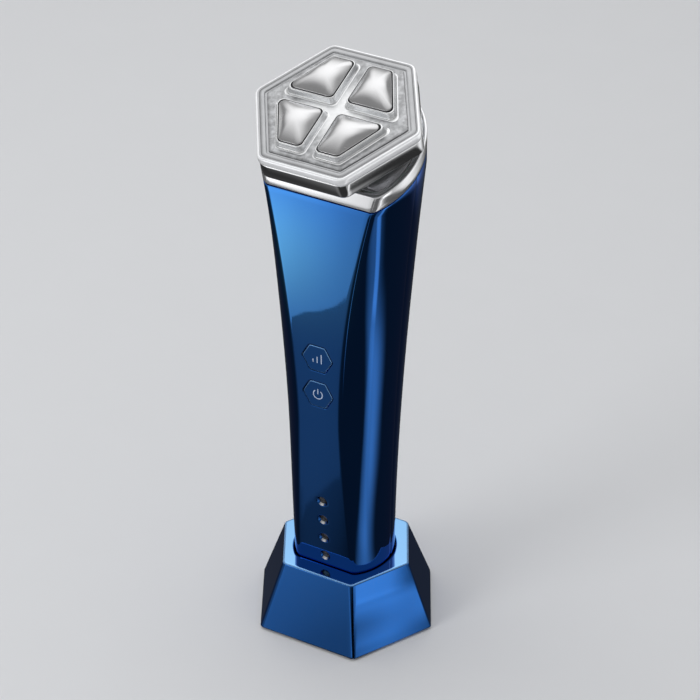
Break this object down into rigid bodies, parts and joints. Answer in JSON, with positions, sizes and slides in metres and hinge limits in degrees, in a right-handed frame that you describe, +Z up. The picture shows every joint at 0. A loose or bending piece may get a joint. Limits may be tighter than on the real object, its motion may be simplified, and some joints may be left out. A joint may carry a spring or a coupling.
{
  "type": "facial massager",
  "caption": "Handheld facial massager with a tilted hexagonal electrode head, flat button face and tapering grip, standing in a hexagonal charging stand.",
  "frame": {"origin": "middle of the stand's foot, on the surface it stands on", "axes": "+Z up along the handle; -Y is the front, with the flat face that holds the buttons and lights; +X is to the right seen from the front"},
  "size_m": [0.0696, 0.0592, 0.2148],
  "materials": {
    "blue_plating": "mirror-bright blue metallic plating",
    "chrome_plating": "bright chrome",
    "satin_metal": "satin bright metal",
    "clear_cover": "clear acrylic over a pale frosted layer",
    "dark_plastic": "satin dark plastic",
    "grey_plastic": "moulded grey plastic",
    "rubber_foot": "matt black rubber",
    "steel": "zinc-plated steel",
    "contact_metal": "gold-plated brass",
    "circuit_board": "green solder mask",
    "cell_wrap": "shrink-wrapped cell",
    "light_lens": "frosted lens"
  },
  "bodies": {
    "stand": {"stand_shell": "blue_plating", "stand_cup": "dark_plastic", "foot_pad": "rubber_foot", "base_plate": "dark_plastic", "ballast_plate": "steel", "charging_board": "circuit_board", "usb_socket": "steel", "base_screw_1": "steel", "base_screw_2": "steel", "base_screw_3": "steel", "base_screw_4": "steel", "pogo_barrel_left": "contact_metal", "pogo_barrel_right": "contact_metal"},
    "left_contact": {"pogo_pin_left": "contact_metal"},
    "right_contact": {"pogo_pin_right": "contact_metal"},
    "handle": {"front_shell": "blue_plating", "rear_shell": "blue_plating", "bottom_cap": "dark_plastic", "contact_pad_left": "contact_metal", "contact_pad_right": "contact_metal", "collar": "chrome_plating", "neck_dish": "dark_plastic", "chassis": "grey_plastic", "battery": "cell_wrap", "main_board": "circuit_board", "ribbon_cable": "contact_metal", "motor_can": "steel", "motor_boot": "rubber_foot", "level_switch": "dark_plastic", "power_switch": "dark_plastic", "indicator_light_1": "light_lens", "indicator_light_2": "light_lens", "indicator_light_3": "light_lens", "indicator_light_4": "light_lens", "head_housing": "chrome_plating", "light_plate": "clear_cover", "led_board": "circuit_board", "electrode_back_right": "satin_metal", "electrode_back_left": "satin_metal", "electrode_front_left": "satin_metal", "electrode_front_right": "satin_metal", "electrode_nut_back_right": "contact_metal", "electrode_nut_back_left": "contact_metal", "electrode_nut_front_left": "contact_metal", "electrode_nut_front_right": "contact_metal"},
    "level_key": {"level_button": "blue_plating", "level_plunger": "dark_plastic"},
    "power_key": {"power_button": "blue_plating", "power_plunger": "dark_plastic"},
    "weight": {"motor_weight": "steel"}
  },
  "joints": [
    {"name": "handle_lift", "type": "slide", "parent": "stand", "child": "handle", "axis": [0, 0, 1], "range_m": [0, 0.04]},
    {"name": "level_press", "type": "slide", "parent": "handle", "child": "level_key", "axis": [0, 1, 0], "range_m": [0, 0.0005], "stiffness_N_per_m": 600},
    {"name": "power_press", "type": "slide", "parent": "handle", "child": "power_key", "axis": [0, 1, 0], "range_m": [0, 0.0005], "stiffness_N_per_m": 600},
    {"name": "left_contact_press", "type": "slide", "parent": "stand", "child": "left_contact", "axis": [0, 0, -1], "range_m": [0, 0.001], "stiffness_N_per_m": 250},
    {"name": "right_contact_press", "type": "slide", "parent": "stand", "child": "right_contact", "axis": [0, 0, -1], "range_m": [0, 0.001], "stiffness_N_per_m": 250},
    {"name": "weight_spin", "type": "hinge", "parent": "handle", "child": "weight", "pos_m": [0, 0.004, 0.1626], "axis": [0, 0, 1], "continuous": true}
  ]
}
